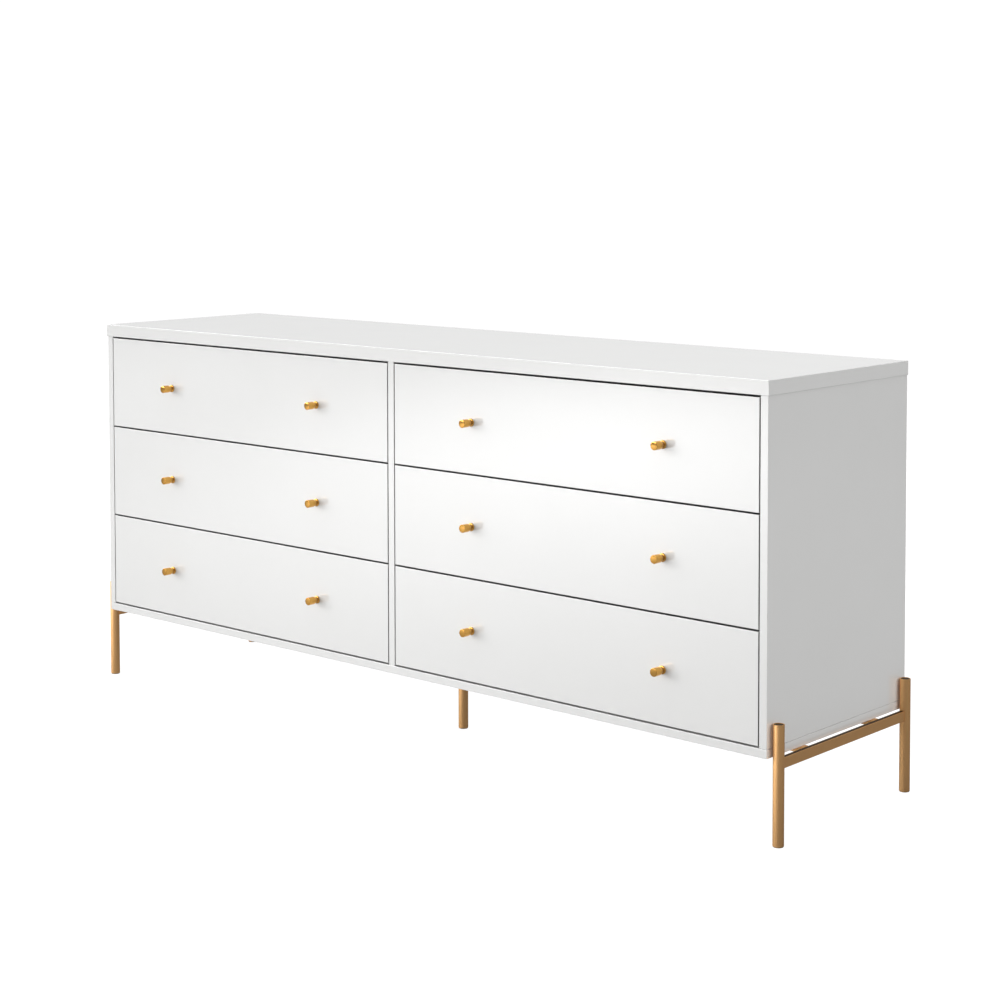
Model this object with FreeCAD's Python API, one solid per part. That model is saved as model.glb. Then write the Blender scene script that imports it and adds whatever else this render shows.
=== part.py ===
import FreeCAD
import Part

import math
import os

# A dresser with six inset drawers in two columns, on a round-tube metal base.
# Millimetres. The origin is on the floor, under the centre of the overall box:
# +X to the right along the width, -Y out of the drawer fronts, +Z up.

# Carcass boards
carcass_width = 1700.0
carcass_depth = 428.0
opening_height = 575.0
board = 15.0
top_board = 25.0
top_overhang = 2.0
floor_clearance = 145.0

# Back boards, in a rebate behind the carcass, with a strip over their joint
back_board = 3.0
strip_flange = 1.0
strip_width = 24.0
strip_web = 1.2
rebate_width = 8.0

# Drawer fronts, inset and flush, and the gaps around them
rows = 3
front_board = 15.0
side_gap = 2.0
top_gap = 3.5
row_gap = 2.5
bottom_gap = 3.0

# Drawer boxes
box_board = 12.0
box_height = 140.0
box_lift = 15.0
box_back_gap = 9.0
drawer_bottom = 4.0
groove_depth = 6.0
groove_lift = 10.0

# Three-member telescopic slides, one pair to a drawer
slide_space = 12.7
slide_height = 45.7
slide_sheet = 1.2
slide_play = 0.3
slide_lip_gap = 1.4
slide_setback = 1.0
slide_screw_inset = 36.0

# Knobs
knob_spacing = 435.0
knob_length = 25.0
knob_radius = 7.5
knob_neck_radius = 5.3
knob_flange = 2.6
knob_taper = 8.5
knob_edge = 0.8
knob_bore_depth = 9.0

# Base: a tube frame at each end and a leg in the middle
tube_radius = 9.5
tube_wall = 1.5
tube_stand_off = 1.4
tube_front_setback = 18.5
tube_back_setback = 16.5
tube_rise = 56.0
crossbar_thick = 9.0
crossbar_height = 18.0
tab_width = 16.0
tab_height = 10.5
tab_length = 120.0
tab_spread = 218.0
tab_screw_inset = 24.0
centre_leg_setback = 198.0
centre_plate = 70.0
centre_plate_thick = 3.0
plug_length = 12.0
cap_recess = 0.6
glide_flange = 1.0

# Fixings
fit = 0.05
cam_radius = 7.5
cam_depth = 12.5
cam_inset = 34.0
cam_bolt_radius = 3.5
cam_thread_radius = 2.5
cam_thread_length = 10.0
cam_driver = 2.0
dowel_radius = 4.0
dowel_length = 28.0
dowel_in_board = 10.0
fixing_from_edge = 60.0
dowel_from_edge = 100.0
box_dowel_radius = 3.0
box_dowel_length = 24.0
box_dowel_in_board = 9.0
nail_pitch = 210.0
nail_radius = 0.8
nail_length = 16.0
nail_head_radius = 2.5
nail_head = 0.8
slide_screw_radius = 2.0
slide_screw_length = 6.5
slide_screw_head_radius = 3.2
knob_screw_radius = 2.0
knob_screw_head_radius = 4.0
knob_screw_head = 2.0
base_screw_radius = 2.5
base_screw_head_radius = 5.0
base_screw_head = 2.5
base_screw_bite = 12.0

# Places worked out from the dimensions above
half_width = carcass_width / 2
y_front = (knob_length - carcass_depth) / 2
y_back = y_front + carcass_depth
z_carcass = floor_clearance
z_floor_board = z_carcass + board
z_opening_top = z_floor_board + opening_height
rebate_depth = back_board + strip_flange
x_tube = half_width + tube_stand_off + tube_radius
y_tubes = [y_front + tube_front_setback, y_back - tube_back_setback]
box_length = carcass_depth - front_board - rebate_depth - box_back_gap
slide_length = box_length - 2 * slide_setback
front_height = (opening_height - top_gap - bottom_gap - (rows - 1) * row_gap) / rows
columns = {
    "left": (-half_width + board, -board / 2),
    "right": (board / 2, half_width - board),
}
row_names = ["top", "middle", "bottom"]

X = FreeCAD.Vector(1, 0, 0)
Y = FreeCAD.Vector(0, 1, 0)
Z = FreeCAD.Vector(0, 0, 1)


def point(x, y, z):
    return FreeCAD.Vector(x, y, z)


def block(x0, x1, y0, y1, z0, z1):
    """A block between two opposite corners."""
    return Part.makeBox(x1 - x0, y1 - y0, z1 - z0, point(x0, y0, z0))


def rod(radius, length, base, direction):
    return Part.makeCylinder(radius, length, base, direction)


def screw(radius, length, head_radius, head, seat, direction):
    """A screw whose head sits on the point seat and whose shank runs along direction."""
    shank = rod(radius, length, seat, direction)
    cap = rod(head_radius, head, seat - direction * head, direction)
    return shank.fuse(cap).removeSplitter()


def less(shape, tools):
    """The shape with every tool cut out of it."""
    return shape.cut(tools).Solids[0] if tools else shape


def spaced(start, end, pitch):
    """Evenly spaced places from start to end, no further apart than pitch."""
    count = math.ceil((end - start) / pitch)
    return [start + (end - start) * i / count for i in range(count + 1)]


def save(name, solids):
    shape = solids[0] if len(solids) == 1 else Part.makeCompound(solids)
    shape.exportStep(f"parts/{name}.step")


os.makedirs("parts", exist_ok=True)


# Carcass joints: cam locks with their bolts, and dowels, at both ends of each upright board.
# Each upright is named with its mid-plane and the direction in which its cams are let in.
uprights = {
    "left_side_panel": (-half_width + board / 2, -1),
    "centre_divider": (0.0, 1),
    "right_side_panel": (half_width - board / 2, 1),
}
ends = [(z_floor_board, -1), (z_opening_top, 1)]
cam_locks, cam_bolts, dowels = [], [], []
upright_cuts = {name: [] for name in uprights}
floor_cuts, top_cuts = [], []

for name, (x_mid, inward) in uprights.items():
    for z_end, out in ends:
        outward = Z * out
        board_cuts = floor_cuts if out < 0 else top_cuts
        z_cam = z_end - out * cam_inset
        for y in (y_front + fixing_from_edge, y_back - fixing_from_edge):
            face = point(x_mid - inward * board / 2, y, z_cam)
            centre = point(x_mid, y, z_cam)
            recess = rod(cam_radius + fit, cam_depth + fit, face, X * inward)
            cam = rod(cam_radius, cam_depth, face, X * inward)
            slot = rod(cam_bolt_radius + fit, cam_radius * 2, centre - outward * fit, outward)
            driver = rod(cam_driver, cam_driver, face, X * inward)
            cam_locks.append(less(cam, [slot, driver]))
            stem = rod(cam_bolt_radius, cam_inset, centre, outward)
            thread = rod(cam_thread_radius, cam_thread_length, point(x_mid, y, z_end), outward)
            cam_bolts.append(stem.fuse(thread).removeSplitter())
            stem_hole = rod(cam_bolt_radius + fit, cam_inset + fit, centre - outward * fit, outward)
            upright_cuts[name] += [recess, stem_hole]
            board_cuts.append(
                rod(cam_thread_radius + fit, cam_thread_length + fit, point(x_mid, y, z_end), outward)
            )
        for y in (y_front + dowel_from_edge, y_back - dowel_from_edge):
            start = point(x_mid, y, z_end + out * (dowel_in_board - dowel_length))
            dowels.append(rod(dowel_radius, dowel_length, start, outward))
            hole = rod(dowel_radius + fit, dowel_length + 2 * fit, start - outward * fit, outward)
            upright_cuts[name].append(hole)
            board_cuts.append(hole)

save("cam_locks", cam_locks)
save("cam_bolts", cam_bolts)
save("dowels", dowels)


# Back: two thin boards in the rebate, a strip over their joint, and nails round the edge
y_rebate = y_back - rebate_depth
y_back_face = y_back - strip_flange
x_rebate = half_width - board + rebate_width
z_rebate = (z_floor_board - rebate_width, z_opening_top + rebate_width)
rebate = block(-x_rebate, x_rebate, y_rebate, y_back, *z_rebate)

nail_x = half_width - board + rebate_width / 2
nail_z = (z_floor_board - rebate_width / 2, z_opening_top + rebate_width / 2)
nail_places = [(x, z) for z in nail_z for x in spaced(-nail_x + board, nail_x - board, nail_pitch)]
nail_places += [
    (x, z)
    for x in (-nail_x, nail_x)
    for z in spaced(z_floor_board + fixing_from_edge, z_opening_top - fixing_from_edge, nail_pitch)
]
nails, nail_holes = [], []
for x, z in nail_places:
    if abs(x) > strip_width / 2 + nail_head_radius:
        seat = point(x, y_back_face, z)
        nails.append(screw(nail_radius, nail_length, nail_head_radius, nail_head, seat, -Y))
        nail_holes.append(rod(nail_radius + fit, nail_length + fit, seat, -Y))
save("back_nails", nails)

back_boards = []
for x0, x1 in ((-x_rebate, -strip_web / 2), (strip_web / 2, x_rebate)):
    back_boards.append(less(block(x0, x1, y_rebate, y_back_face, *z_rebate), nail_holes))
save("back_boards", back_boards)

flange = block(-strip_width / 2, strip_width / 2, y_back_face, y_back, *z_rebate)
web = block(-strip_web / 2, strip_web / 2, y_rebate, y_back_face, *z_rebate)
save("back_joint_strip", [flange.fuse(web).removeSplitter()])


# Slides: nested channels between each drawer side and the carcass, with their screws.
# The three profiles are written for a slide on a drawer's left; inward is +1 there.
slide_half = slide_height / 2
middle_half = slide_half - slide_sheet - slide_play
inner_half = middle_half - slide_sheet - slide_play
y_slide = y_front + front_board + slide_setback
slide_screw_ys = (y_slide + slide_screw_inset, y_slide + slide_length - slide_screw_inset)


def channel(x_web, x_lip, half, z_mid, inward):
    """A channel along Y: a web at x_web and two flanges that reach x_lip."""
    x_inside = x_web + inward * slide_sheet
    whole = block(min(x_web, x_lip), max(x_web, x_lip), y_slide, y_slide + slide_length,
                  z_mid - half, z_mid + half)
    hollow = block(min(x_inside, x_lip), max(x_inside, x_lip), y_slide, y_slide + slide_length,
                   z_mid - half + slide_sheet, z_mid + half - slide_sheet)
    return less(whole, [hollow])


def drilled(member, x_face, z_mid, direction):
    """The member with screws let flush into its web from x_face, and those screws."""
    screws, holes = [], []
    for y in slide_screw_ys:
        seat = point(x_face + direction * slide_sheet, y, z_mid)
        screws.append(screw(slide_screw_radius, slide_screw_length, slide_screw_head_radius,
                            slide_sheet, seat, X * direction))
        holes.append(rod(slide_screw_head_radius + fit, slide_sheet,
                         point(x_face, y, z_mid), X * direction))
    return less(member, holes), screws


def screw_holes(x_seat, z_mid, direction):
    """The holes that a slide's screws need in the board behind it."""
    return [rod(slide_screw_radius + fit, slide_screw_length + fit, point(x_seat, y, z_mid),
                X * direction) for y in slide_screw_ys]


# Drawers: each has a front, a box with its bottom, two knobs, and its slides
def knob(x, z):
    """A turned knob: a foot flange, a neck that widens to the head, and a flat end."""
    y = y_front
    face = y - knob_length
    outline = [
        (0, y), (knob_radius, y), (knob_radius, y - knob_flange),
        (knob_neck_radius, y - knob_flange), (knob_radius, y - knob_flange - knob_taper),
        (knob_radius, face + knob_edge), (knob_radius - knob_edge, face), (0, face), (0, y),
    ]
    wire = Part.makePolygon([point(x + r, along, z) for r, along in outline])
    turned = Part.Face(wire).revolve(point(x, y, z), Y, 360).Solids[0]
    bore = rod(knob_screw_radius + fit, knob_bore_depth, point(x, y, z), -Y)
    return less(turned, [bore])


def build_drawer(name, x0, x1, z_front):
    """Writes the nodes of one drawer, and returns the carcass ends of its slides."""
    y_box = y_front + front_board
    y_end = y_box + box_length
    z_box = z_front + box_lift
    z_top = z_box + box_height
    z_groove = z_box + groove_lift
    z_mid = z_box + box_height / 2
    left_in = x0 + slide_space + box_board
    right_in = x1 - slide_space - box_board

    bottom = block(left_in - groove_depth, right_in + groove_depth, y_box - groove_depth, y_end,
                   z_groove, z_groove + drawer_bottom)
    save(f"{name}_bottom", [bottom])

    knobs, knob_holes = [], []
    x_mid = (x0 + x1) / 2
    for x in (x_mid - knob_spacing / 2, x_mid + knob_spacing / 2):
        z = z_front + front_height / 2
        seat = point(x, y_box, z)
        length = front_board + knob_bore_depth - 1
        knobs.append(knob(x, z))
        knobs.append(screw(knob_screw_radius, length, knob_screw_head_radius, knob_screw_head,
                           seat, -Y))
        knob_holes.append(rod(knob_screw_radius + fit, front_board, seat, -Y))
    save(f"{name}_knobs", knobs)

    dowel_set = []
    dowel_zs = (z_box + box_height / 4, z_top - box_height / 4)
    for z in dowel_zs:
        for x in (left_in - box_board / 2, right_in + box_board / 2):
            dowel_set.append((point(x, y_box - box_dowel_in_board, z), Y))
        start = left_in - box_dowel_in_board
        dowel_set.append((point(start, y_end - box_board / 2, z), X))
        dowel_set.append((point(right_in + box_dowel_in_board, y_end - box_board / 2, z), -X))
    box_dowels = [rod(box_dowel_radius, box_dowel_length, at, way) for at, way in dowel_set]
    dowel_holes = [
        rod(box_dowel_radius + fit, box_dowel_length + 2 * fit, at - way * fit, way)
        for at, way in dowel_set
    ]

    front = block(x0 + side_gap, x1 - side_gap, y_front, y_box, z_front, z_front + front_height)
    save(f"{name}_front", [less(front, [bottom] + knob_holes + dowel_holes)])

    inner_members, middle_members, outer_members, outer_screws = [], [], [], []
    sides = []
    for x_wall, x_side, inward in ((x0, left_in - box_board, 1), (x1, right_in + box_board, -1)):
        x_inner = x_side - inward * slide_sheet
        x_middle = x_wall + inward * (slide_sheet + slide_play)
        outer = channel(x_wall, x_inner - inward * slide_lip_gap, slide_half, z_mid, inward)
        middle = channel(x_middle, x_inner - inward * slide_play, middle_half, z_mid, inward)
        x_reach = x_middle + inward * (slide_sheet + slide_play)
        inner = channel(x_side, x_reach, inner_half, z_mid, -inward)
        outer, screws = drilled(outer, x_wall + inward * slide_sheet, z_mid, -inward)
        outer_members.append(outer)
        outer_screws += screws
        middle_members.append(middle)
        inner, screws = drilled(inner, x_inner, z_mid, inward)
        inner_members += [inner] + screws
        side = block(min(x_side, x_side + inward * box_board),
                     max(x_side, x_side + inward * box_board), y_box, y_end, z_box, z_top)
        sides.append(less(side, [bottom] + dowel_holes + screw_holes(x_side, z_mid, inward)))
    save(f"{name}_slide_inner", inner_members)
    save(f"{name}_slide_middle", middle_members)

    back = block(left_in, right_in, y_end - box_board, y_end, z_groove + drawer_bottom, z_top)
    save(f"{name}_box", sides + [less(back, dowel_holes)] + box_dowels)
    return outer_members, outer_screws


slide_outers, slide_screws = [], []
for column, (x0, x1) in columns.items():
    for row, row_name in enumerate(row_names):
        z_front = z_opening_top - top_gap - front_height - row * (front_height + row_gap)
        outers, screws = build_drawer(f"{row_name}_{column}_drawer", x0, x1, z_front)
        slide_outers += outers
        slide_screws += screws
        z_mid = z_front + box_lift + box_height / 2
        left_board = "left_side_panel" if column == "left" else "centre_divider"
        right_board = "centre_divider" if column == "left" else "right_side_panel"
        upright_cuts[left_board] += screw_holes(x0, z_mid, -1)
        upright_cuts[right_board] += screw_holes(x1, z_mid, 1)
save("slide_outer_members", slide_outers)
save("slide_screws", slide_screws)


# Base: end frames of two tubes and a crossbar, screwed up through tabs, and a middle leg
tubes = {"left": -x_tube, "right": x_tube}
depths = {"front": y_tubes[0], "back": y_tubes[1]}
z_tube_top = z_carcass + tube_rise
bore_radius = tube_radius - tube_wall
glides, caps = [], []


def tube(x, y, z_top):
    """An upright tube that stands on its glide's flange."""
    height = z_top - glide_flange
    wall = rod(tube_radius, height, point(x, y, glide_flange), Z)
    return less(wall, [rod(bore_radius, height, point(x, y, glide_flange), Z)])


def glide(x, y):
    """A foot glide: a plug up inside the tube, with a flange under its end."""
    flange = rod(tube_radius - tube_wall / 2, glide_flange, point(x, y, 0), Z)
    return flange.fuse(rod(bore_radius, plug_length, point(x, y, glide_flange), Z)).removeSplitter()


for side, x in tubes.items():
    for end, y in depths.items():
        save(f"{end}_{side}_leg", [tube(x, y, z_tube_top)])
        glides.append(glide(x, y))
        caps.append(rod(bore_radius, plug_length, point(x, y, z_tube_top - cap_recess - plug_length), Z))

base_screws, y_mid = [], (y_front + y_back) / 2
tabs = []
for side, x in tubes.items():
    inward = -1 if x > 0 else 1
    bar = block(x - crossbar_thick / 2, x + crossbar_thick / 2, *y_tubes,
                z_carcass - crossbar_height, z_carcass)
    coping = [rod(tube_radius, floor_clearance, point(x, y, glide_flange), Z) for y in y_tubes]
    save(f"{side}_crossbar", [less(bar, coping)])
    x_weld = x + inward * crossbar_thick / 2
    x_end = x_weld + inward * tab_length
    for y in (y_mid - tab_spread / 2, y_mid + tab_spread / 2):
        tab = block(min(x_weld, x_end), max(x_weld, x_end), y - tab_width / 2, y + tab_width / 2,
                    z_carcass - tab_height, z_carcass)
        holes = []
        for x_screw in (x_weld + inward * 2 * tab_screw_inset, x_end - inward * tab_screw_inset):
            seat = point(x_screw, y, z_carcass - tab_height)
            length = tab_height + base_screw_bite
            base_screws.append(screw(base_screw_radius, length, base_screw_head_radius,
                                     base_screw_head, seat, Z))
            holes.append(rod(base_screw_radius + fit, length + fit, seat, Z))
        tabs.append(less(tab, holes))
        floor_cuts += holes
save("mounting_tabs", tabs)

plate_z = z_carcass - centre_plate_thick
y_centre_leg = y_front + centre_leg_setback
plate = block(-centre_plate / 2, centre_plate / 2, y_centre_leg - centre_plate / 2,
              y_centre_leg + centre_plate / 2, plate_z, z_carcass)
plate_holes = []
for dx in (-1, 1):
    for dy in (-1, 1):
        reach = centre_plate / 2 - base_screw_head_radius - 2
        seat = point(dx * reach, y_centre_leg + dy * reach, plate_z)
        length = centre_plate_thick + base_screw_bite
        base_screws.append(screw(base_screw_radius, length, base_screw_head_radius,
                                 base_screw_head, seat, Z))
        plate_holes.append(rod(base_screw_radius + fit, length + fit, seat, Z))
floor_cuts += plate_holes
save("centre_leg", [tube(0, y_centre_leg, plate_z), less(plate, plate_holes)])
glides.append(glide(0, y_centre_leg))
save("foot_glides", glides)
save("tube_caps", caps)
save("base_screws", base_screws)


# Carcass boards, with the rebate and every hole let into them
floor_board = block(-half_width, half_width, y_front, y_back, z_carcass, z_floor_board)
save("bottom_panel", [less(floor_board, [rebate] + nail_holes + floor_cuts)])

top = block(-half_width - top_overhang, half_width + top_overhang, y_front - top_overhang,
            y_back, z_opening_top, z_opening_top + top_board)
save("top_panel", [less(top, [rebate] + nail_holes + top_cuts)])

for name, (x_mid, inward) in uprights.items():
    upright = block(x_mid - board / 2, x_mid + board / 2, y_front, y_back,
                    z_floor_board, z_opening_top)
    save(name, [less(upright, [rebate] + nail_holes + upright_cuts[name])])
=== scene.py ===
import bmesh
import bpy
import math
from mathutils import Matrix, Vector


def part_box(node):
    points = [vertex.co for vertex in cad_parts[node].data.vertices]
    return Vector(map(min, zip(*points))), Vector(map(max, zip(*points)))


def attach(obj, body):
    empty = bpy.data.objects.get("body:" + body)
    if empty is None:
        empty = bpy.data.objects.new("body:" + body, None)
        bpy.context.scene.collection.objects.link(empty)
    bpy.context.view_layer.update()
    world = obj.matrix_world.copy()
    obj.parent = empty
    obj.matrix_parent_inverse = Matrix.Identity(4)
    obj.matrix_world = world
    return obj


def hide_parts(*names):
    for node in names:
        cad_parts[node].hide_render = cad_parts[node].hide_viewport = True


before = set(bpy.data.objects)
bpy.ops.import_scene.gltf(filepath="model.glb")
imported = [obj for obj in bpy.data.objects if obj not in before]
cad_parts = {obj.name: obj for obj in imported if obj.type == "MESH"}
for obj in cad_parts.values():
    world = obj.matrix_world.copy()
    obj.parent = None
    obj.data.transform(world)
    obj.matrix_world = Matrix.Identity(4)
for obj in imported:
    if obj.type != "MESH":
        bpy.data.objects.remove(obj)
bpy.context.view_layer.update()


# ---- Camera ----
# A long lens at standing height, in front of the right-hand end, with the
# frame shifted down so that upright edges stay upright.
camera_right_of_carcass = 1.88396
camera_before_fronts = 2.75479
camera_height = 1.1184
camera_turn = math.radians(41.4134)
camera_dip = math.radians(2.914)
camera_roll = math.radians(-0.0558)

carcass_low, carcass_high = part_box("bottom_panel")
camera = bpy.data.objects.new("camera", bpy.data.cameras.new("camera"))
camera.data.lens = 74.853
camera.data.sensor_width = 36
camera.data.shift_x = -0.01255
camera.data.shift_y = -0.23794
camera.matrix_world = (
    Matrix.Translation((
        carcass_high.x + camera_right_of_carcass,
        carcass_low.y - camera_before_fronts,
        camera_height,
    ))
    @ Matrix.Rotation(camera_turn, 4, "Z")
    @ Matrix.Rotation(math.pi / 2 - camera_dip, 4, "X")
    @ Matrix.Rotation(camera_roll, 4, "Z")
)
bpy.context.scene.collection.objects.link(camera)
bpy.context.scene.camera = camera
bpy.context.scene.view_settings.view_transform = "Standard"


# ---- Studio ----
# A pale seamless floor and wide soft lamps, in a dim room with bright screens on
# its left side. Gloss mirrors the room, its screens and pools of light painted on
# the floor as a glow of its own, while the lamps only light the surfaces.
floor_size = 60.0
floor_albedo = 0.25
floor_seen_glow, backdrop_seen_glow = 0.92, 1.05
# Painted pools of light: the floor itself glows in these spots for every ray but the camera's.
pools = [
    {"centre": (-4.0, -4.5), "turn": 0.0, "reach": (6.0, 6.0), "glow": 0.4},
    {"centre": (-2.0, -3.3), "turn": 56.0, "reach": (4.8, 2.0), "glow": 1.05},
]
room_glow = 0.34
screens = [
    {"toward": (-0.94, -0.33, 0.06), "rim": 0.8, "glow": 2.5},
    {"toward": (-0.56, -0.83, 0.05), "rim": 0.78, "glow": 4.2},
    {"toward": (-0.62, 0.78, 0.12), "rim": 0.7, "glow": 0.38},
]


def node_setup(owner):
    """The node tree of a material or world, emptied, and a function that adds a node."""
    owner.use_nodes = True
    tree = owner.node_tree
    tree.nodes.clear()

    def add(kind, **settings):
        node = tree.nodes.new(kind)
        for key, value in settings.items():
            setattr(node, key, value)
        return node

    return tree, add


def seen_or_glow(tree, add, glows, seen, base):
    """A strength of seen to the camera, and of base plus the glows to everything else."""
    total = None
    for glow in glows:
        summed = add("ShaderNodeMath", operation="ADD")
        summed.inputs[0].default_value = base
        if total:
            tree.links.new(total.outputs[0], summed.inputs[0])
        tree.links.new(glow, summed.inputs[1])
        total = summed
    path = add("ShaderNodeLightPath")
    choice = add("ShaderNodeMix", data_type="FLOAT")
    choice.inputs["B"].default_value = seen
    tree.links.new(path.outputs["Is Camera Ray"], choice.inputs["Factor"])
    tree.links.new(total.outputs[0], choice.inputs["A"])
    return choice.outputs["Result"]


floor_bm = bmesh.new()
bmesh.ops.create_grid(floor_bm, x_segments=1, y_segments=1, size=floor_size / 2)
floor_mesh = bpy.data.meshes.new("studio_floor")
floor_bm.to_mesh(floor_mesh)
floor_bm.free()
floor = bpy.data.objects.new("studio_floor", floor_mesh)
bpy.context.scene.collection.objects.link(floor)
floor_paper = bpy.data.materials.new("studio_paper")
tree, add = node_setup(floor_paper)
place = add("ShaderNodeTexCoord")
glows = []
for pool in pools:
    spot = add("ShaderNodeMapping", vector_type="TEXTURE")
    spot.inputs["Location"].default_value = (*pool["centre"], 0)
    spot.inputs["Rotation"].default_value = (0, 0, math.radians(pool["turn"]))
    spot.inputs["Scale"].default_value = (*pool["reach"], 1)
    nearness = add("ShaderNodeTexGradient", gradient_type="SPHERICAL")
    strength = add("ShaderNodeMapRange", interpolation_type="SMOOTHSTEP")
    strength.inputs["To Max"].default_value = pool["glow"]
    tree.links.new(place.outputs["Object"], spot.inputs["Vector"])
    tree.links.new(spot.outputs["Vector"], nearness.inputs["Vector"])
    tree.links.new(nearness.outputs["Fac"], strength.inputs["Value"])
    glows.append(strength.outputs["Result"])
paper = add("ShaderNodeBsdfPrincipled")
paper.inputs["Base Color"].default_value = (floor_albedo, floor_albedo, floor_albedo, 1)
paper.inputs["Roughness"].default_value = 1.0
paper.inputs["Specular IOR Level"].default_value = 0.0
paper.inputs["Emission Color"].default_value = (1, 1, 1, 1)
paper_out = add("ShaderNodeOutputMaterial")
tree.links.new(seen_or_glow(tree, add, glows, floor_seen_glow, 0.0),
               paper.inputs["Emission Strength"])
tree.links.new(paper.outputs[0], paper_out.inputs[0])
floor_mesh.materials.append(floor_paper)

world = bpy.data.worlds.new("studio")
bpy.context.scene.world = world
tree, add = node_setup(world)
direction = add("ShaderNodeTexCoord")
glows = []
for screen in screens:
    facing = add("ShaderNodeVectorMath", operation="DOT_PRODUCT")
    facing.inputs[1].default_value = Vector(screen["toward"]).normalized()
    fade = add("ShaderNodeMapRange", interpolation_type="SMOOTHSTEP")
    fade.inputs["From Min"].default_value = screen["rim"]
    fade.inputs["To Max"].default_value = screen["glow"]
    tree.links.new(direction.outputs["Generated"], facing.inputs[0])
    tree.links.new(facing.outputs["Value"], fade.inputs["Value"])
    glows.append(fade.outputs["Result"])
backdrop = add("ShaderNodeBackground")
backdrop.inputs["Color"].default_value = (1, 1, 1, 1)
world_out = add("ShaderNodeOutputWorld")
tree.links.new(seen_or_glow(tree, add, glows, backdrop_seen_glow, room_glow),
               backdrop.inputs["Strength"])
tree.links.new(backdrop.outputs[0], world_out.inputs[0])


def soft_lamp(name, place, aim, width, height, power):
    """A wide soft lamp at place that looks at aim, and that gloss doesn't mirror."""
    lamp = bpy.data.lights.new(name, "AREA")
    lamp.shape = "RECTANGLE"
    lamp.size, lamp.size_y, lamp.energy = width, height, power
    holder = bpy.data.objects.new(name, lamp)
    holder.location = place
    holder.rotation_euler = (Vector(aim) - Vector(place)).to_track_quat("-Z", "Y").to_euler()
    holder.visible_camera = False
    holder.visible_glossy = False
    bpy.context.scene.collection.objects.link(holder)


soft_lamp("top_lamp", (0.0, -0.3, 4.0), (0, 0, 0), 5.0, 4.0, 66)
soft_lamp("side_lamp", (4.2, 0.4, 1.8), (0.8, 0, 0.4), 2.5, 2.4, 60)
soft_lamp("back_lamp", (-1.5, 4.5, 2.6), (0, 0, 0.4), 3.0, 2.4, 90)
soft_lamp("front_lamp", (1.4, -4.6, 0.8), (0.2, 0, 0.4), 3.0, 2.0, 22)


# ---- Carcass boards ----
# Fibreboard sprayed in white high-gloss lacquer on all faces, with its edges
# eased by hand. The uprights stand on the bottom board, and the top laps them.
def effect_group(name, inputs, outputs):
    """A node group that finishes share, with its input and output nodes."""
    group = bpy.data.node_groups.new(name, "ShaderNodeTree")
    for label, kind, value in inputs:
        socket = group.interface.new_socket(label, in_out="INPUT", socket_type=kind)
        socket.default_value = value
    for label, kind in outputs:
        group.interface.new_socket(label, in_out="OUTPUT", socket_type=kind)
    return group, group.nodes.new("NodeGroupInput"), group.nodes.new("NodeGroupOutput")


waviness, wave_in, wave_out = effect_group(
    "skin_waviness",
    [("Scale", "NodeSocketFloat", 200.0), ("Height", "NodeSocketFloat", 0.00001)],
    [("Normal", "NodeSocketVector")],
)
coords = waviness.nodes.new("ShaderNodeTexCoord")
ripple = waviness.nodes.new("ShaderNodeTexNoise")
ripple.inputs["Detail"].default_value = 2.0
bump = waviness.nodes.new("ShaderNodeBump")
bump.inputs["Strength"].default_value = 1.0
waviness.links.new(coords.outputs["Object"], ripple.inputs["Vector"])
waviness.links.new(wave_in.outputs["Scale"], ripple.inputs["Scale"])
waviness.links.new(ripple.outputs["Fac"], bump.inputs["Height"])
waviness.links.new(wave_in.outputs["Height"], bump.inputs["Distance"])
waviness.links.new(bump.outputs["Normal"], wave_out.inputs["Normal"])

smudging, smudge_in, smudge_out = effect_group(
    "smudging",
    [
        ("Scale", "NodeSocketFloat", 6.0),
        ("Clean", "NodeSocketFloat", 0.1),
        ("Smudged", "NodeSocketFloat", 0.2),
    ],
    [("Roughness", "NodeSocketFloat"), ("Mask", "NodeSocketFloat")],
)
coords = smudging.nodes.new("ShaderNodeTexCoord")
patches = smudging.nodes.new("ShaderNodeTexNoise")
patches.inputs["Detail"].default_value = 5.0
patches.inputs["Roughness"].default_value = 0.6
spread = smudging.nodes.new("ShaderNodeMapRange")
spread.inputs["From Min"].default_value = 0.35
spread.inputs["From Max"].default_value = 0.7
mixed = smudging.nodes.new("ShaderNodeMapRange")
smudging.links.new(coords.outputs["Object"], patches.inputs["Vector"])
smudging.links.new(smudge_in.outputs["Scale"], patches.inputs["Scale"])
smudging.links.new(patches.outputs["Fac"], spread.inputs["Value"])
smudging.links.new(spread.outputs["Result"], mixed.inputs["Value"])
smudging.links.new(smudge_in.outputs["Clean"], mixed.inputs["To Min"])
smudging.links.new(smudge_in.outputs["Smudged"], mixed.inputs["To Max"])
smudging.links.new(mixed.outputs["Result"], smudge_out.inputs["Roughness"])
smudging.links.new(spread.outputs["Result"], smudge_out.inputs["Mask"])


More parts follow.
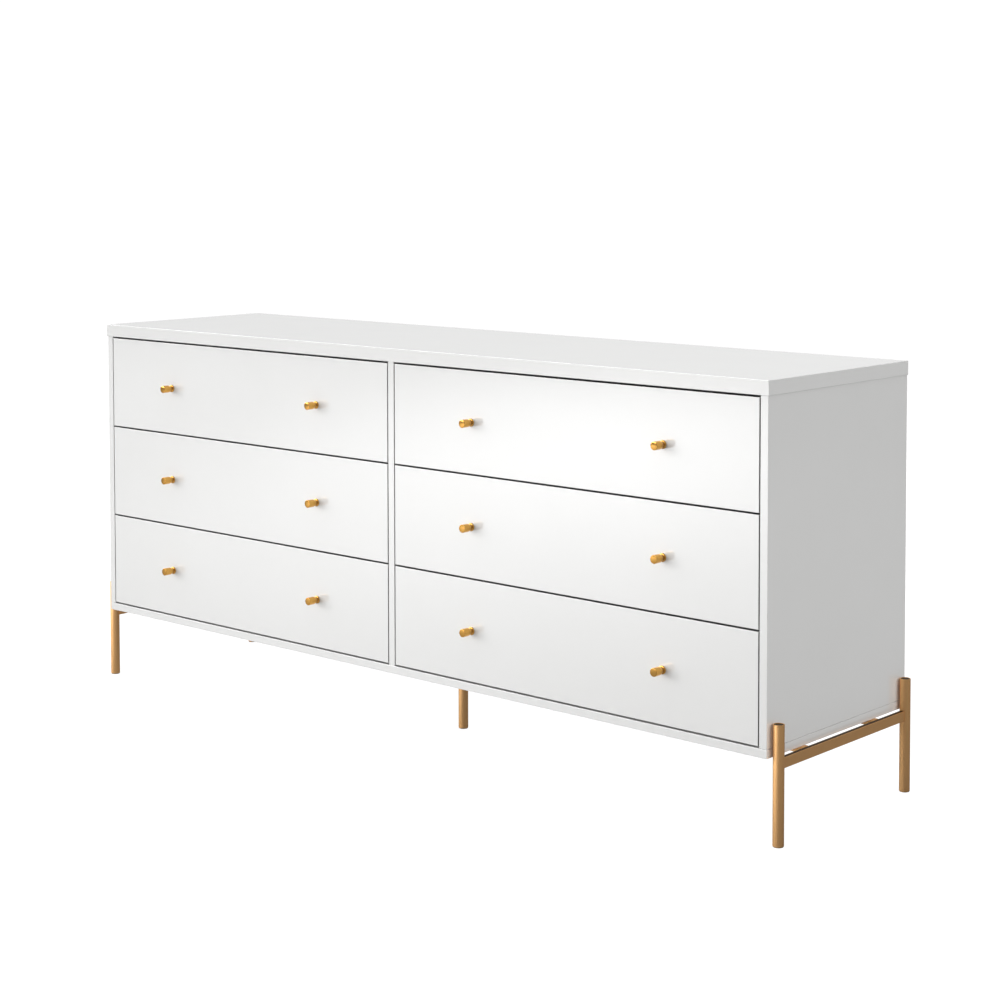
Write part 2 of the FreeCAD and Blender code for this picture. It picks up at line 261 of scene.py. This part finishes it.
def finish(name, colour, other_colour, clean, smudged, smudge_scale=6.0, ripple_scale=200.0,
           ripple_height=0.00001, metallic=0.0, ior=1.5, stretch=None):
    """A finish between two near colours, with smudged roughness and a rippled skin.

    stretch is the scale of a fine grain along X, Y and Z, or None for no grain.
    """
    material = bpy.data.materials.new(name)
    tree, add = node_setup(material)
    skin = add("ShaderNodeBsdfPrincipled")
    skin.inputs["Metallic"].default_value = metallic
    skin.inputs["IOR"].default_value = ior
    out = add("ShaderNodeOutputMaterial")
    tree.links.new(skin.outputs[0], out.inputs[0])
    smudges = add("ShaderNodeGroup", node_tree=smudging)
    smudges.inputs["Scale"].default_value = smudge_scale
    smudges.inputs["Clean"].default_value = clean
    smudges.inputs["Smudged"].default_value = smudged
    tree.links.new(smudges.outputs["Roughness"], skin.inputs["Roughness"])
    ripples = add("ShaderNodeGroup", node_tree=waviness)
    ripples.inputs["Scale"].default_value = ripple_scale
    ripples.inputs["Height"].default_value = ripple_height
    tree.links.new(ripples.outputs["Normal"], skin.inputs["Normal"])
    blend = add("ShaderNodeMix", data_type="RGBA")
    colour_a, colour_b, mixed_colour = blend.inputs[6], blend.inputs[7], blend.outputs[2]
    colour_a.default_value = (*colour, 1)
    colour_b.default_value = (*other_colour, 1)
    tree.links.new(mixed_colour, skin.inputs["Base Color"])
    if stretch:
        where = add("ShaderNodeTexCoord")
        drawn = add("ShaderNodeMapping")
        drawn.inputs["Scale"].default_value = stretch
        grain = add("ShaderNodeTexNoise")
        grain.inputs["Scale"].default_value = 1.0
        grain.inputs["Detail"].default_value = 4.0
        tree.links.new(where.outputs["Object"], drawn.inputs["Vector"])
        tree.links.new(drawn.outputs["Vector"], grain.inputs["Vector"])
        tree.links.new(grain.outputs["Fac"], blend.inputs[0])
    else:
        tree.links.new(smudges.outputs["Mask"], blend.inputs[0])
    return material


board_ease = 0.0006
lacquer = finish("white_gloss_lacquer", (0.85, 0.85, 0.84), (0.87, 0.87, 0.862), 0.02, 0.04,
                 smudge_scale=3.0, ripple_scale=90.0, ripple_height=0.000004, ior=2.6)


def add_board(bm, low, high, ease=board_ease):
    """A board with eased edges, added to bm between two opposite corners."""
    low, high = Vector(low), Vector(high)
    block = bmesh.ops.create_cube(bm, size=1.0)["verts"]
    bmesh.ops.scale(bm, verts=block, vec=high - low)
    bmesh.ops.translate(bm, verts=block, vec=(low + high) / 2)
    edges = list({edge for vert in block for edge in vert.link_edges})
    bmesh.ops.bevel(bm, geom=edges, offset=ease, offset_type="OFFSET", segments=3,
                    profile=0.5, affect="EDGES", material=-1)


crease_angle = math.radians(35)


def add_piece(name, bm, material, body, slot, *nodes, smooth=False):
    """Makes a piece of bm that rides on body and stands for the CAD nodes."""
    bmesh.ops.recalc_face_normals(bm, faces=bm.faces)
    mesh = bpy.data.meshes.new(name)
    bm.to_mesh(mesh)
    bm.free()
    mesh.materials.append(material)
    if smooth:
        mesh.shade_smooth()
        mesh.set_sharp_from_angle(angle=crease_angle)
    piece = bpy.data.objects.new(name, mesh)
    bpy.context.scene.collection.objects.link(piece)
    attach(piece, body)
    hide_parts(*nodes)
    return piece


rebate_play, past_back_face = 0.0002, 0.006
rebate_low, rebate_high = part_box("back_boards")
rebate_low -= Vector((rebate_play, rebate_play, rebate_play))
rebate_high += Vector((rebate_play, past_back_face, rebate_play))


def cut_out(bm, low, high):
    """Cuts the block between two opposite corners out of bm, and returns the result."""
    block_bm = bmesh.new()
    block = bmesh.ops.create_cube(block_bm, size=1.0)["verts"]
    bmesh.ops.scale(block_bm, verts=block, vec=high - low)
    bmesh.ops.translate(block_bm, verts=block, vec=(low + high) / 2)
    return cut_by(bm, block_bm)


def cut_by(bm, cutter_bm):
    """The shape of bm with cutter_bm cut out of it. Both are used up."""
    parts = []
    for name, part_bm in (("stock", bm), ("cutter", cutter_bm)):
        bmesh.ops.recalc_face_normals(part_bm, faces=part_bm.faces)
        mesh = bpy.data.meshes.new(name)
        part_bm.to_mesh(mesh)
        part_bm.free()
        parts.append(bpy.data.objects.new(name, mesh))
        bpy.context.scene.collection.objects.link(parts[-1])
    cut = parts[0].modifiers.new("cut", "BOOLEAN")
    cut.operation, cut.object, cut.solver, cut.use_self = "DIFFERENCE", parts[1], "EXACT", True
    shaped = parts[0].evaluated_get(bpy.context.evaluated_depsgraph_get())
    mesh = bpy.data.meshes.new_from_object(shaped)
    result = bmesh.new()
    result.from_mesh(mesh)
    for part in parts:
        bpy.data.objects.remove(part)
    bpy.data.meshes.remove(mesh)
    return result


# The side boards stop just short of the bottom board, which leaves a fine line.
joint_line = 0.0005
for node in ("bottom_panel", "left_side_panel", "centre_divider", "right_side_panel", "top_panel"):
    low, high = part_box(node)
    if "side_panel" in node:
        low.z += joint_line
    bm = bmesh.new()
    add_board(bm, low, high)
    if high.y > rebate_low.y + board_ease:
        bm = cut_out(bm, rebate_low, rebate_high)
    add_piece(f"{node}_lacquered", bm, lacquer, "carcass", "white_lacquer", node)


# ---- Back ----
# Two thin painted hardboard sheets in a rebate, with a moulded strip over the
# joint between them and small flat-headed nails round the edge.
hardboard = finish("painted_hardboard", (0.735, 0.725, 0.7), (0.76, 0.75, 0.725), 0.5, 0.72,
                   smudge_scale=40.0, ripple_scale=900.0, ripple_height=0.00006)
strip_plastic = finish("strip_plastic", (0.74, 0.74, 0.72), (0.77, 0.77, 0.755), 0.35, 0.5,
                       smudge_scale=12.0, ripple_scale=600.0, ripple_height=0.00002)
sheet_ease = 0.0004
(back_low, back_high), (strip_low, strip_high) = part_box("back_boards"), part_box("back_joint_strip")
bm = bmesh.new()
for x_from, x_to in ((back_low.x, -sheet_ease), (sheet_ease, back_high.x)):
    add_board(bm, (x_from, back_low.y, back_low.z), (x_to, back_high.y, back_high.z), sheet_ease)
add_piece("back_sheets", bm, hardboard, "carcass", "hardboard", "back_boards")
bm = bmesh.new()
add_board(bm, (strip_low.x, back_high.y, strip_low.z), strip_high, sheet_ease)
add_piece("joint_strip", bm, strip_plastic, "carcass", "strip_plastic", "back_joint_strip")


# ---- Fittings inside the carcass ----
# Cam locks, their bolts, dowels, nails and slide screws, as the fitter leaves
# them: bright zinc plate, plain die-cast zinc and turned beech.
zinc_plate = finish("zinc_plated_steel", (0.56, 0.58, 0.61), (0.67, 0.67, 0.66), 0.24, 0.42,
                    smudge_scale=45.0, ripple_scale=800.0, ripple_height=0.00001, metallic=1.0)
cast_zinc = finish("die_cast_zinc", (0.42, 0.43, 0.44), (0.53, 0.53, 0.53), 0.4, 0.6,
                   smudge_scale=150.0, ripple_scale=1800.0, ripple_height=0.00004, metallic=1.0)
beech = finish("turned_beech", (0.62, 0.41, 0.24), (0.74, 0.54, 0.35), 0.5, 0.65,
               smudge_scale=90.0, ripple_scale=900.0, ripple_height=0.00008,
               stretch=(900.0, 900.0, 60.0))


def refinish(material, *nodes):
    """Gives CAD nodes whose shape is right a finish of this script's own."""
    for node in nodes:
        for material_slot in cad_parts[node].material_slots:
            material_slot.material = material


refinish(cast_zinc, "cam_locks")
refinish(zinc_plate, "cam_bolts", "back_nails", "slide_screws", "slide_outer_members")
refinish(beech, "dowels")


# ---- Drawer fronts ----
# Inset fronts of the same lacquered board, flush with the carcass edges, and
# sanded a little small, so that a thin gap runs all round. Their narrow edges
# carry a dark grey painted shade, so that the gaps read as dark shadow lines.
drawers = [f"{row}_{column}_drawer" for column in ("left", "right")
           for row in ("top", "middle", "bottom")]
# A dark grey painted on the fronts' narrow edges, as painted shade for the gaps.
painted_gap_shade = finish("grey_painted_gap_shade", (0.14, 0.14, 0.14), (0.18, 0.18, 0.175), 0.4, 0.55,
                     smudge_scale=30.0, ripple_scale=700.0, ripple_height=0.00002)
sanded_off = Vector((0.0004, 0, 0.0004))
square_on = 0.99
for drawer in drawers:
    bm = bmesh.new()
    low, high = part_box(f"{drawer}_front")
    add_board(bm, low + sanded_off, high - sanded_off)
    bm.normal_update()
    # The narrow edge faces get the dark grey painted shade.
    for face in bm.faces:
        if max(abs(face.normal.x), abs(face.normal.z)) > square_on:
            face.material_index = 1
    panel = add_piece(f"{drawer}_front_panel", bm, lacquer, drawer, "white_lacquer",
                      f"{drawer}_front")
    panel.data.materials.append(painted_gap_shade)


# ---- Knobs ----
# Solid knobs turned from bar and plated gold: a round foot, a neck that widens
# into a plain head, and a flat end. A pan-head screw from inside holds each.
knob_gold = finish("polished_gold_plate", (0.72, 0.38, 0.085), (0.76, 0.42, 0.11), 0.08, 0.13,
                   smudge_scale=180.0, ripple_scale=1500.0, ripple_height=0.000004, metallic=1.0)
head_radius, foot_radius, neck_radius = 0.0075, 0.0075, 0.0053
foot_thick, taper_length, turned_ease = 0.0026, 0.0085, 0.0006
turning_steps, same_place = 64, 1e-6


def add_turned(bm, outline, origin, axis, steps=turning_steps):
    """Spins an outline of (radius, distance along axis) points into a closed turned shape."""
    axis = Vector(axis).normalized()
    across = axis.orthogonal().normalized()
    points = [Vector(origin) + across * radius + axis * along for radius, along in outline]
    verts = [bm.verts.new(point) for point in points]
    edges = [bm.edges.new(pair) for pair in zip(verts, verts[1:])]
    bmesh.ops.spin(bm, geom=verts + edges, cent=origin, axis=axis, angle=2 * math.pi,
                   steps=steps, use_merge=True)
    bmesh.ops.remove_doubles(bm, verts=bm.verts, dist=same_place)


def eased(corners, ease, steps=3):
    """The outline with each of its corners replaced by a short arc of radius ease."""
    points = [corners[0]]
    for before, corner, after in zip(corners, corners[1:], corners[2:]):
        start = Vector(corner) + (Vector(before) - Vector(corner)).normalized() * ease
        end = Vector(corner) + (Vector(after) - Vector(corner)).normalized() * ease
        for step in range(steps + 1):
            t = step / steps
            along = start * (1 - t) ** 2 + Vector(corner) * 2 * t * (1 - t) + end * t ** 2
            points.append(tuple(along))
    return points + [corners[-1]]


head_rounding, head_steps = 0.45, 32
recess_long, recess_wide = 1.1, 0.24


def pan_head(radius, height):
    """A pan head with a cross recess, its seat on z = 0 and facing +Z."""
    head_bm = bmesh.new()
    outline = eased([(0, 0), (radius, 0), (radius, height), (0, height)], height * head_rounding)
    add_turned(head_bm, outline, (0, 0, 0), (0, 0, 1), steps=head_steps)
    recess_bm = bmesh.new()
    for across_x, across_y in ((recess_long, recess_wide), (recess_wide, recess_long)):
        bar = bmesh.ops.create_cube(recess_bm, size=1.0)["verts"]
        bmesh.ops.scale(recess_bm, verts=bar, vec=(across_x * radius, across_y * radius, height))
        bmesh.ops.translate(recess_bm, verts=bar, vec=(0, 0, height))
    cut_bm = cut_by(head_bm, recess_bm)
    head = bpy.data.meshes.new("pan_head")
    cut_bm.to_mesh(head)
    cut_bm.free()
    return head


def add_screw_head(bm, head, seat, way):
    """Copies a head onto seat, facing along way."""
    copy = bmesh.new()
    copy.from_mesh(head)
    turn = Vector((0, 0, 1)).rotation_difference(Vector(way)).to_matrix().to_4x4()
    copy.transform(Matrix.Translation(seat) @ turn)
    mesh = bpy.data.meshes.new("screw_copy")
    copy.to_mesh(mesh)
    copy.free()
    bm.from_mesh(mesh)
    bpy.data.meshes.remove(mesh)


screw_head_radius, screw_head_height = 0.004, 0.002
knob_screw_head = pan_head(screw_head_radius, screw_head_height)
for drawer in drawers:
    knobs_low, knobs_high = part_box(f"{drawer}_knobs")
    front_low, front_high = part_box(f"{drawer}_front")
    z = (knobs_low.z + knobs_high.z) / 2
    length = front_low.y - knobs_low.y
    screws_bm = bmesh.new()
    for side, x in (("left", knobs_low.x + head_radius), ("right", knobs_high.x - head_radius)):
        corners = [
            (0, 0), (foot_radius, 0), (foot_radius, foot_thick),
            (neck_radius, foot_thick + turned_ease), (head_radius, foot_thick + taper_length),
            (head_radius, length), (0, length),
        ]
        bm = bmesh.new()
        add_turned(bm, eased(corners, turned_ease), (x, front_low.y, z), (0, -1, 0))
        add_piece(f"{drawer}_{side}_knob", bm, knob_gold, drawer, "knob_brass",
                  f"{drawer}_knobs", smooth=True)
        add_screw_head(screws_bm, knob_screw_head, (x, front_high.y, z), (0, 1, 0))
    add_piece(f"{drawer}_knob_screws", screws_bm, zinc_plate, drawer, "zinc_steel",
              f"{drawer}_knobs")


# ---- Drawer boxes ----
# Sides and back of thin board in a matt white foil, dowelled together, round a
# thin bottom sheet that slides into grooves. The slides' inner rails are fixed on.
box_board = 0.012
foil = finish("matt_white_foil", (0.74, 0.745, 0.74), (0.78, 0.78, 0.775), 0.42, 0.55,
              smudge_scale=14.0, ripple_scale=1400.0, ripple_height=0.00003)
for drawer in drawers:
    (box_low, box_high), (sheet_low, sheet_high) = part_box(f"{drawer}_box"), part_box(f"{drawer}_bottom")
    y_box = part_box(f"{drawer}_front")[1].y
    inner_left, inner_right = box_low.x + box_board, box_high.x - box_board
    y_inner = box_high.y - box_board
    bm = bmesh.new()
    for x_from, x_to in ((box_low.x, inner_left), (inner_right, box_high.x)):
        add_board(bm, (x_from, y_box, box_low.z), (x_to, box_high.y, box_high.z))
    add_board(bm, (inner_left, y_inner, sheet_high.z), (inner_right, box_high.y, box_high.z))
    add_piece(f"{drawer}_box_boards", bm, foil, drawer, "drawer_board", f"{drawer}_box")
    bm = bmesh.new()
    add_board(bm, (inner_left, y_box, sheet_low.z), (inner_right, box_high.y, sheet_high.z),
              sheet_ease)
    add_piece(f"{drawer}_bottom_sheet", bm, hardboard, drawer, "hardboard", f"{drawer}_bottom")
    refinish(zinc_plate, f"{drawer}_slide_inner", f"{drawer}_slide_middle")


# ---- Base frames ----
# Round tube legs that rise outside the ends of the carcass, joined in pairs by
# a flat bar, all welded and plated in satin gold. The plug in each tube's top
# is a dark bronze, and the upper face of each bar gets the same dark colour as painted shade.
satin_gold = finish("satin_gold_plate", (0.95, 0.565, 0.25), (0.99, 0.6, 0.275), 0.5, 0.56,
                    smudge_scale=30.0, ripple_scale=1200.0, ripple_height=0.000006,
                    metallic=1.0, stretch=(1500.0, 1500.0, 25.0))
# Dark bronze for the plugs in the tube tops, also used as painted shade on the bars' upper faces.
plug_bronze_and_painted_shade = finish("plug_bronze_and_painted_shade", (0.055, 0.032, 0.014), (0.08, 0.047, 0.02), 0.45, 0.6,
                     smudge_scale=120.0, ripple_scale=900.0, ripple_height=0.00001, ior=1.15)
tube_wall, tube_lip, cap_recess, cap_depth = 0.0015, 0.0005, 0.0006, 0.004


def add_tube(bm, low, high):
    """An upright tube in the box from low to high, open at both ends, with eased rims."""
    outer = (high.x - low.x) / 2
    inner, height = outer - tube_wall, high.z - low.z
    loop = [(inner, height / 2), (inner, 0), (outer, 0), (outer, height), (inner, height),
            (inner, height / 2)]
    foot = ((low.x + high.x) / 2, (low.y + high.y) / 2, low.z)
    add_turned(bm, eased(loop, tube_lip), foot, (0, 0, 1))


for end in ("front", "back"):
    for side in ("left", "right"):
        leg_low, leg_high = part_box(f"{end}_{side}_leg")
        bm = bmesh.new()
        add_tube(bm, leg_low, leg_high)
        add_piece(f"{end}_{side}_tube_leg", bm, satin_gold, "carcass", "gold_metal",
                  f"{end}_{side}_leg", smooth=True)
        bore = (leg_high.x - leg_low.x) / 2 - tube_wall
        cap = [(0, 0), (bore, 0), (bore, cap_depth), (0, cap_depth)]
        base = ((leg_low.x + leg_high.x) / 2, (leg_low.y + leg_high.y) / 2,
                leg_high.z - cap_recess - cap_depth)
        bm = bmesh.new()
        add_turned(bm, eased(cap, tube_lip), base, (0, 0, 1))
        add_piece(f"{end}_{side}_tube_cap", bm, plug_bronze_and_painted_shade, "carcass", "gold_metal",
                  "tube_caps", smooth=True)

bar_ease = 0.0011
for side in ("left", "right"):
    bm = bmesh.new()
    add_board(bm, *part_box(f"{side}_crossbar"), bar_ease)
    bm.normal_update()
    # The upper face of each gold bar is painted dark as shade, in the plugs' bronze.
    for face in bm.faces:
        if face.normal.z > square_on:
            face.material_index = 1
    bar = add_piece(f"{side}_end_bar", bm, satin_gold, "carcass", "gold_metal", f"{side}_crossbar")
    bar.data.materials.append(plug_bronze_and_painted_shade)

tabs_low, tabs_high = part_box("mounting_tabs")
tab_width, tab_length = 0.016, 0.12
bm = bmesh.new()
for y in (tabs_low.y, tabs_high.y - tab_width):
    for x in (tabs_low.x, tabs_high.x - tab_length):
        add_board(bm, (x, y, tabs_low.z), (x + tab_length, y + tab_width, tabs_high.z), bar_ease)
add_piece("frame_tabs", bm, satin_gold, "carcass", "gold_metal", "mounting_tabs")


# ---- Middle leg, glides and base screws ----
# A tube welded to a square plate under the middle of the bottom board. Moulded
# glides close every tube's foot, and pan-head screws hold the base on.
plate_thick = 0.003
leg_low, leg_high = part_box("centre_leg")
end_low, end_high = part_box("front_left_leg")
tube_radius = (end_high.x - end_low.x) / 2
centre_x, centre_y = (leg_low.x + leg_high.x) / 2, (leg_low.y + leg_high.y) / 2
bm = bmesh.new()
add_tube(bm, Vector((centre_x - tube_radius, centre_y - tube_radius, leg_low.z)),
         Vector((centre_x + tube_radius, centre_y + tube_radius, leg_high.z - plate_thick)))
add_piece("middle_tube_leg", bm, satin_gold, "carcass", "gold_metal", "centre_leg", smooth=True)
bm = bmesh.new()
add_board(bm, (leg_low.x, leg_low.y, leg_high.z - plate_thick), leg_high, board_ease)
add_piece("middle_leg_plate", bm, satin_gold, "carcass", "gold_metal", "centre_leg")

glide_plastic = finish("moulded_glide", (0.10, 0.075, 0.05), (0.13, 0.1, 0.07), 0.45, 0.6,
                       smudge_scale=60.0, ripple_scale=2500.0, ripple_height=0.00003)
refinish(glide_plastic, "foot_glides")
refinish(zinc_plate, "base_screws")
